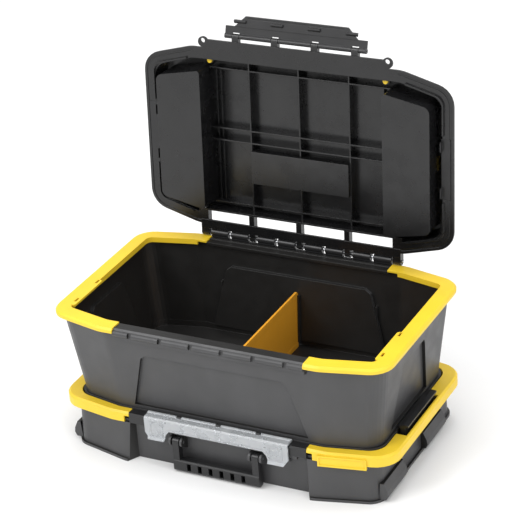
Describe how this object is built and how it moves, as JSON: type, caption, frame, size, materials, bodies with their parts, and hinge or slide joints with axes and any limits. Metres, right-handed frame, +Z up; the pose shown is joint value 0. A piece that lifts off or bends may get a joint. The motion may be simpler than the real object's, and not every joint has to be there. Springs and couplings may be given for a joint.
{
  "type": "rolling tool box",
  "caption": "Deep open plastic tote with a hinged pocket lid, clipped on a shallow organiser with a front latch and handle.",
  "frame": {"origin": "middle of the flat foot that the box stands on", "axes": "+X to the box's right, +Y to its back, +Z up"},
  "size_m": [0.5, 0.342, 0.537],
  "materials": {
    "charcoal": "matte moulded polypropylene",
    "black": "satin moulded polypropylene",
    "lid_black": "satin moulded polypropylene",
    "yellow": "satin moulded polypropylene",
    "amber": "satin moulded polypropylene",
    "grip": "soft moulded rubber",
    "clear": "frosted translucent polypropylene",
    "steel": "plain drawn steel"
  },
  "bodies": {
    "organiser_base": {"organiser_base": "charcoal", "base_tabs": "charcoal", "organiser_partitions": "charcoal", "front_shelf": "charcoal", "organiser_dividers": "amber", "organiser_hinge_pin": "steel", "front_handle_pins": "steel"},
    "front_handle": {"front_handle": "black"},
    "organiser_lid": {"organiser_lid": "black", "organiser_rim_left": "yellow", "organiser_rim_right": "yellow", "front_latch_pin": "steel", "side_latch_pin_left": "steel", "side_latch_pin_right": "steel"},
    "front_latch": {"front_latch": "clear"},
    "side_latch_left": {"side_latch_left": "black"},
    "side_latch_right": {"side_latch_right": "black"},
    "tote": {"tote_floor": "charcoal", "tote_tub": "charcoal", "tote_flange": "charcoal", "tote_rim_left": "yellow", "tote_rim_right": "yellow", "hinge_strip": "black", "lid_hinge_pin": "steel"},
    "tote_divider": {"tote_divider": "amber"},
    "top_lid": {"top_lid": "lid_black", "lid_ribs": "lid_black", "lid_pocket_left": "lid_black", "lid_pocket_right": "lid_black", "lid_pan": "lid_black", "lid_hinge_arms": "lid_black", "lid_buffers": "yellow", "lid_tabs": "black", "top_latch_pin": "steel", "carry_handle_pins": "steel", "pocket_pin_left": "steel", "pocket_pin_right": "steel", "pocket_dividers": "amber"},
    "top_latch": {"top_latch": "black"},
    "carry_handle": {"carry_handle": "black", "handle_grip": "grip"},
    "pocket_cover_left": {"pocket_cover_left": "lid_black", "pocket_latch_left": "yellow"},
    "pocket_cover_right": {"pocket_cover_right": "lid_black", "pocket_latch_right": "yellow"}
  },
  "joints": [
    {"name": "organiser_lid_hinge", "type": "hinge", "parent": "organiser_base", "child": "organiser_lid", "pos_m": [0, 0.146, 0.056], "axis": [1, 0, 0], "range_deg": [-80, 0]},
    {"name": "front_handle_swing", "type": "hinge", "parent": "organiser_base", "child": "front_handle", "pos_m": [0, -0.142, 0.046], "axis": [1, 0, 0], "range_deg": [-90, 0]},
    {"name": "front_latch_hinge", "type": "hinge", "parent": "organiser_lid", "child": "front_latch", "pos_m": [0, -0.13, 0.0744], "axis": [1, 0, 0], "range_deg": [-90, 3]},
    {"name": "side_latch_left_hinge", "type": "hinge", "parent": "organiser_lid", "child": "side_latch_left", "pos_m": [-0.237, -0.01, 0.0675], "axis": [0, 1, 0], "range_deg": [-25, 12]},
    {"name": "side_latch_right_hinge", "type": "hinge", "parent": "organiser_lid", "child": "side_latch_right", "pos_m": [0.237, -0.01, 0.0675], "axis": [0, -1, 0], "range_deg": [-25, 12]},
    {"name": "tote_lift", "type": "slide", "parent": "organiser_lid", "child": "tote", "axis": [0, 0, -1], "range_m": [-0.1, 0]},
    {"name": "divider_lift", "type": "slide", "parent": "tote", "child": "tote_divider", "axis": [0, 0, -1], "range_m": [-0.14, 0]},
    {"name": "top_lid_hinge", "type": "hinge", "parent": "tote", "child": "top_lid", "pos_m": [0, 0.146, 0.2129], "axis": [1, 0, 0], "range_deg": [0, 94.5]},
    {"name": "top_latch_hinge", "type": "hinge", "parent": "top_lid", "child": "top_latch", "pos_m": [0, 0.1704, 0.5089], "axis": [1, 0, 0], "range_deg": [-25, 103]},
    {"name": "carry_handle_swing", "type": "hinge", "parent": "top_lid", "child": "carry_handle", "pos_m": [0, 0.17047, 0.33135], "axis": [-1, 0, 0], "range_deg": [-90, 0]},
    {"name": "pocket_left_hinge", "type": "hinge", "parent": "top_lid", "child": "pocket_cover_left", "pos_m": [-0.135, 0.18487, 0.35629], "axis": [0, 0.0785, 0.9969], "range_deg": [-110, 0]},
    {"name": "pocket_right_hinge", "type": "hinge", "parent": "top_lid", "child": "pocket_cover_right", "pos_m": [0.135, 0.18487, 0.35629], "axis": [0, -0.0785, -0.9969], "range_deg": [-110, 0]}
  ]
}
